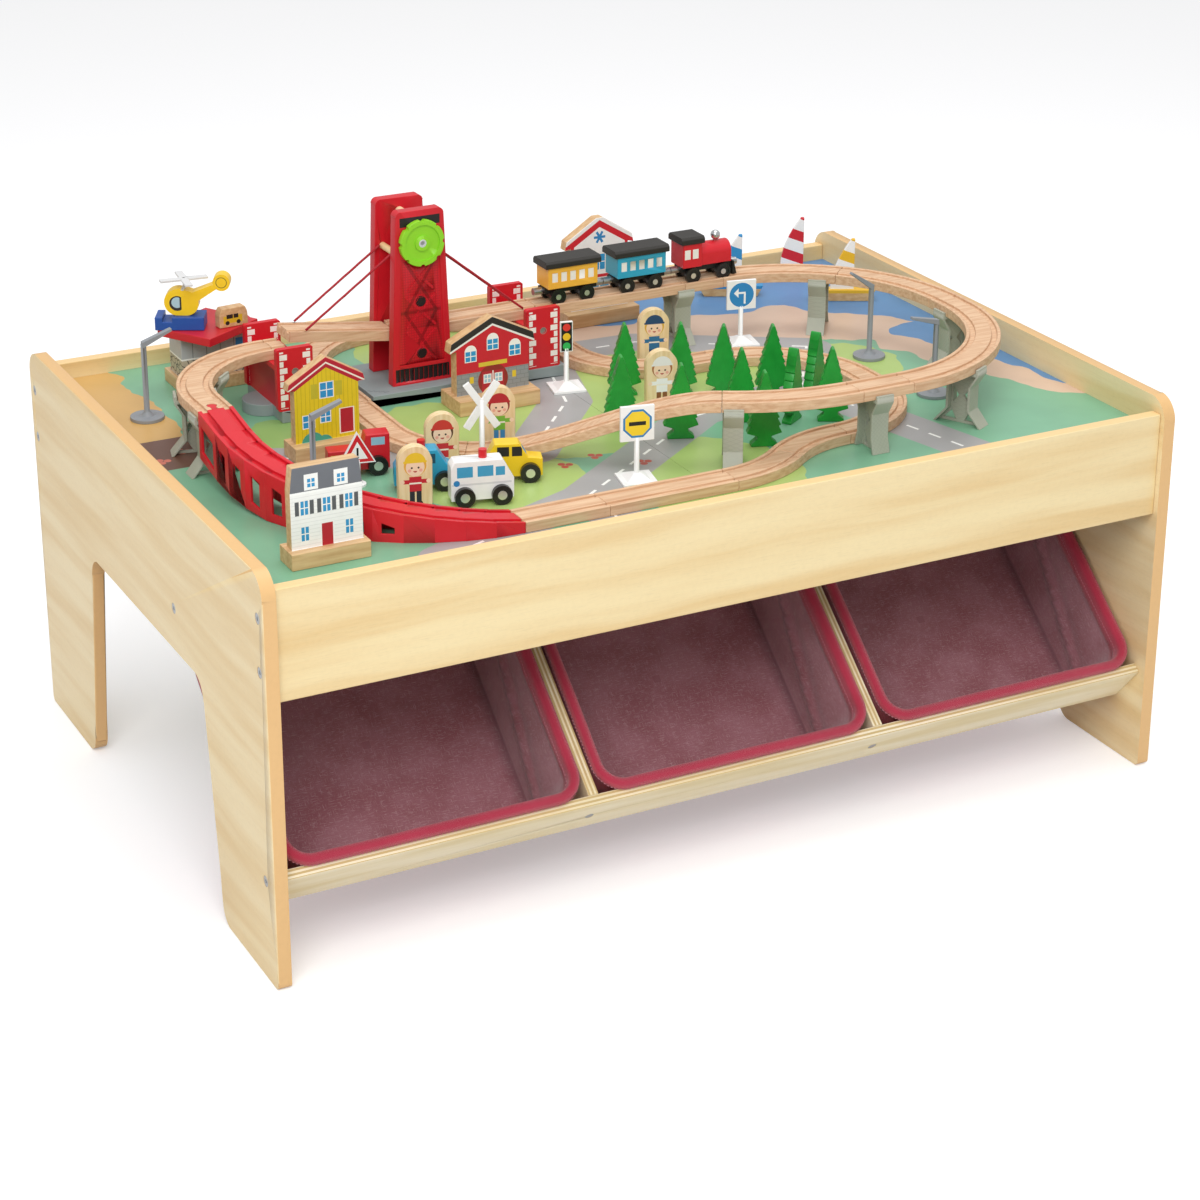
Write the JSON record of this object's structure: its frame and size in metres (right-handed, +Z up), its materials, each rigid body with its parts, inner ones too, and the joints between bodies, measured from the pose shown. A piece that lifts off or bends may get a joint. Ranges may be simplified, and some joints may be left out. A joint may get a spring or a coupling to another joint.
{
  "type": "train table",
  "caption": "Maple train table with tilted red fabric bins, a printed playboard, a raised wooden railway with a lifting bridge, a train and town pieces.",
  "frame": {"origin": "On the floor under the centre of the table.", "axes": "+X along the table length, -Y towards the side with the bins, +Z up."},
  "size_m": [1.1, 0.756, 0.645],
  "materials": {
    "maple": "clear satin lacquer",
    "plywood": "bare sanded",
    "beech": "bare sanded",
    "board_print": "printed satin",
    "crimson_fabric": "woven",
    "steel": "zinc plated",
    "red_plastic": "moulded satin",
    "grey_plastic": "moulded matt",
    "riser_plastic": "moulded matt",
    "lime_plastic": "moulded satin",
    "black_paint": "satin",
    "yellow_paint": "satin paint on wood",
    "blue_paint": "satin paint on wood",
    "red_paint": "satin paint on wood",
    "white_paint": "satin paint on wood",
    "green_paint": "satin paint on wood",
    "cord": "twisted cord"
  },
  "bodies": {
    "root": {"end_panels": "maple", "aprons": "maple", "playboard": "board_print", "battens": "plywood", "bin_rails": "plywood", "bin_dividers": "plywood", "screws": "steel", "upper_track_left": "beech", "upper_track_right": "beech", "climbing_track": "beech", "ground_track": "beech", "plastic_ramp": "red_plastic", "risers": "riser_plastic", "bridge_base": "grey_plastic", "bridge_piers": "red_plastic", "tower_plates": "red_plastic", "bridge_deck": "beech", "tower_dowels": "maple", "hinge_pins": "steel", "houses": "maple", "helipad": "maple", "helicopter_body": "yellow_paint", "trees": "green_paint", "figures": "maple", "road_signs": "white_paint", "street_lamps": "grey_plastic", "sail_boats": "maple"},
    "bin_left": {"bin_left": "crimson_fabric"},
    "bin_middle": {"bin_middle": "crimson_fabric"},
    "bin_right": {"bin_right": "crimson_fabric"},
    "winch": {"winch": "lime_plastic"},
    "leaf_left": {"leaf_left": "beech", "lift_cords_left": "cord"},
    "leaf_right": {"leaf_right": "beech", "lift_cords_right": "cord"},
    "train": {"train_bodies": "yellow_paint", "train_roofs": "black_paint", "train_chassis": "black_paint", "train_magnets": "steel"},
    "axle_yellow_rear": {"axle_yellow_rear": "black_paint"},
    "axle_yellow_front": {"axle_yellow_front": "black_paint"},
    "axle_blue_rear": {"axle_blue_rear": "black_paint"},
    "axle_blue_front": {"axle_blue_front": "black_paint"},
    "axle_engine_rear": {"axle_engine_rear": "black_paint"},
    "axle_engine_front": {"axle_engine_front": "black_paint"},
    "ambulance": {"ambulance_body": "white_paint"},
    "ambulance_axle_rear": {"ambulance_axle_rear": "black_paint"},
    "ambulance_axle_front": {"ambulance_axle_front": "black_paint"},
    "yellow_car": {"yellow_car_body": "yellow_paint"},
    "yellow_car_axle_rear": {"yellow_car_axle_rear": "black_paint"},
    "yellow_car_axle_front": {"yellow_car_axle_front": "black_paint"},
    "blue_car": {"blue_car_body": "blue_paint"},
    "blue_car_axle_rear": {"blue_car_axle_rear": "black_paint"},
    "blue_car_axle_front": {"blue_car_axle_front": "black_paint"},
    "truck": {"truck_body": "red_paint"},
    "truck_axle_rear": {"truck_axle_rear": "black_paint"},
    "truck_axle_front": {"truck_axle_front": "black_paint"},
    "rotor": {"helicopter_rotor": "white_paint"}
  },
  "joints": [
    {"name": "bin_left_slide", "type": "slide", "parent": "root", "child": "bin_left", "axis": [0, -0.6428, 0.766], "range_m": [0, 0.06]},
    {"name": "bin_middle_slide", "type": "slide", "parent": "root", "child": "bin_middle", "axis": [0, -0.6428, 0.766], "range_m": [0, 0.06]},
    {"name": "bin_right_slide", "type": "slide", "parent": "root", "child": "bin_right", "axis": [0, -0.6428, 0.766], "range_m": [0, 0.06]},
    {"name": "winch_turn", "type": "hinge", "parent": "root", "child": "winch", "pos_m": [-0.157, 0.155, 0.607], "axis": [0, 1, 0], "range_deg": [0, 200]},
    {"name": "leaf_left_lift", "type": "hinge", "parent": "root", "child": "leaf_left", "pos_m": [-0.187, 0.155, 0.493], "axis": [0, 1, 0], "range_deg": [-8, 42], "deforming": ["lift_cords_left"]},
    {"name": "leaf_right_lift", "type": "hinge", "parent": "root", "child": "leaf_right", "pos_m": [-0.127, 0.155, 0.493], "axis": [0, -1, 0], "range_deg": [0, 42], "deforming": ["lift_cords_right"]},
    {"name": "train_roll", "type": "slide", "parent": "root", "child": "train", "axis": [1, 0, 0], "range_m": [-0.1, 0]},
    {"name": "axle_yellow_rear_spin", "type": "hinge", "parent": "train", "child": "axle_yellow_rear", "pos_m": [0.031, 0.155, 0.506], "axis": [0, 1, 0], "range_deg": [-575, 5]},
    {"name": "axle_yellow_front_spin", "type": "hinge", "parent": "train", "child": "axle_yellow_front", "pos_m": [0.069, 0.155, 0.506], "axis": [0, 1, 0], "range_deg": [-575, 5]},
    {"name": "axle_blue_rear_spin", "type": "hinge", "parent": "train", "child": "axle_blue_rear", "pos_m": [0.124, 0.155, 0.506], "axis": [0, 1, 0], "range_deg": [-575, 5]},
    {"name": "axle_blue_front_spin", "type": "hinge", "parent": "train", "child": "axle_blue_front", "pos_m": [0.162, 0.155, 0.506], "axis": [0, 1, 0], "range_deg": [-575, 5]},
    {"name": "axle_engine_rear_spin", "type": "hinge", "parent": "train", "child": "axle_engine_rear", "pos_m": [0.215, 0.155, 0.506], "axis": [0, 1, 0], "range_deg": [-575, 5]},
    {"name": "axle_engine_front_spin", "type": "hinge", "parent": "train", "child": "axle_engine_front", "pos_m": [0.257, 0.155, 0.506], "axis": [0, 1, 0], "range_deg": [-575, 5]},
    {"name": "ambulance_roll", "type": "slide", "parent": "root", "child": "ambulance", "axis": [0.9703, -0.2419, 0], "range_m": [0, 0.03]},
    {"name": "ambulance_axle_rear_spin", "type": "hinge", "parent": "ambulance", "child": "ambulance_axle_rear", "pos_m": [-0.25741, -0.20716, 0.433], "axis": [0.2419, 0.9703, 0], "range_deg": [-3, 159.3]},
    {"name": "ambulance_axle_front_spin", "type": "hinge", "parent": "ambulance", "child": "ambulance_axle_front", "pos_m": [-0.21859, -0.21684, 0.433], "axis": [0.2419, 0.9703, 0], "range_deg": [-3, 159.3]},
    {"name": "yellow_car_roll", "type": "slide", "parent": "root", "child": "yellow_car", "axis": [0.9397, -0.342, 0], "range_m": [0, 0.03]},
    {"name": "yellow_car_axle_rear_spin", "type": "hinge", "parent": "yellow_car", "child": "yellow_car_axle_rear", "pos_m": [-0.20079, -0.16116, 0.433], "axis": [0.342, 0.9397, 0], "range_deg": [-3, 159.3]},
    {"name": "yellow_car_axle_front_spin", "type": "hinge", "parent": "yellow_car", "child": "yellow_car_axle_front", "pos_m": [-0.16321, -0.17484, 0.433], "axis": [0.342, 0.9397, 0], "range_deg": [-3, 159.3]},
    {"name": "blue_car_roll", "type": "slide", "parent": "root", "child": "blue_car", "axis": [0.9397, -0.342, 0], "range_m": [-0.012, 0]},
    {"name": "blue_car_axle_rear_spin", "type": "hinge", "parent": "blue_car", "child": "blue_car_axle_rear", "pos_m": [-0.29279, -0.14116, 0.433], "axis": [0.342, 0.9397, 0], "range_deg": [-65.5, 3]},
    {"name": "blue_car_axle_front_spin", "type": "hinge", "parent": "blue_car", "child": "blue_car_axle_front", "pos_m": [-0.25521, -0.15484, 0.433], "axis": [0.342, 0.9397, 0], "range_deg": [-65.5, 3]},
    {"name": "truck_roll", "type": "slide", "parent": "root", "child": "truck", "axis": [0.9781, -0.2079, 0], "range_m": [-0.03, 0.01]},
    {"name": "truck_axle_rear_spin", "type": "hinge", "parent": "truck", "child": "truck_axle_rear", "pos_m": [-0.34156, -0.07184, 0.433], "axis": [0.2079, 0.9781, 0], "range_deg": [-159.3, 55.1]},
    {"name": "truck_axle_front_spin", "type": "hinge", "parent": "truck", "child": "truck_axle_front", "pos_m": [-0.30244, -0.08016, 0.433], "axis": [0.2079, 0.9781, 0], "range_deg": [-159.3, 55.1]},
    {"name": "rotor_spin", "type": "hinge", "parent": "root", "child": "rotor", "pos_m": [-0.39576, 0.25482, 0.5585], "axis": [0, 0, 1], "continuous": true}
  ],
  "couplings": [
    {"joint": "leaf_left_lift", "follows": "winch_turn", "ratio": 0.21},
    {"joint": "leaf_right_lift", "follows": "winch_turn", "ratio": 0.21},
    {"joint": "axle_yellow_rear_spin", "follows": "train_roll", "rad_per_m": 100},
    {"joint": "axle_yellow_front_spin", "follows": "train_roll", "rad_per_m": 100},
    {"joint": "axle_blue_rear_spin", "follows": "train_roll", "rad_per_m": 100},
    {"joint": "axle_blue_front_spin", "follows": "train_roll", "rad_per_m": 100},
    {"joint": "axle_engine_rear_spin", "follows": "train_roll", "rad_per_m": 100},
    {"joint": "axle_engine_front_spin", "follows": "train_roll", "rad_per_m": 100},
    {"joint": "ambulance_axle_rear_spin", "follows": "ambulance_roll", "rad_per_m": 90.909},
    {"joint": "ambulance_axle_front_spin", "follows": "ambulance_roll", "rad_per_m": 90.909},
    {"joint": "yellow_car_axle_rear_spin", "follows": "yellow_car_roll", "rad_per_m": 90.909},
    {"joint": "yellow_car_axle_front_spin", "follows": "yellow_car_roll", "rad_per_m": 90.909},
    {"joint": "blue_car_axle_rear_spin", "follows": "blue_car_roll", "rad_per_m": 90.909},
    {"joint": "blue_car_axle_front_spin", "follows": "blue_car_roll", "rad_per_m": 90.909},
    {"joint": "truck_axle_rear_spin", "follows": "truck_roll", "rad_per_m": 90.909},
    {"joint": "truck_axle_front_spin", "follows": "truck_roll", "rad_per_m": 90.909}
  ]
}
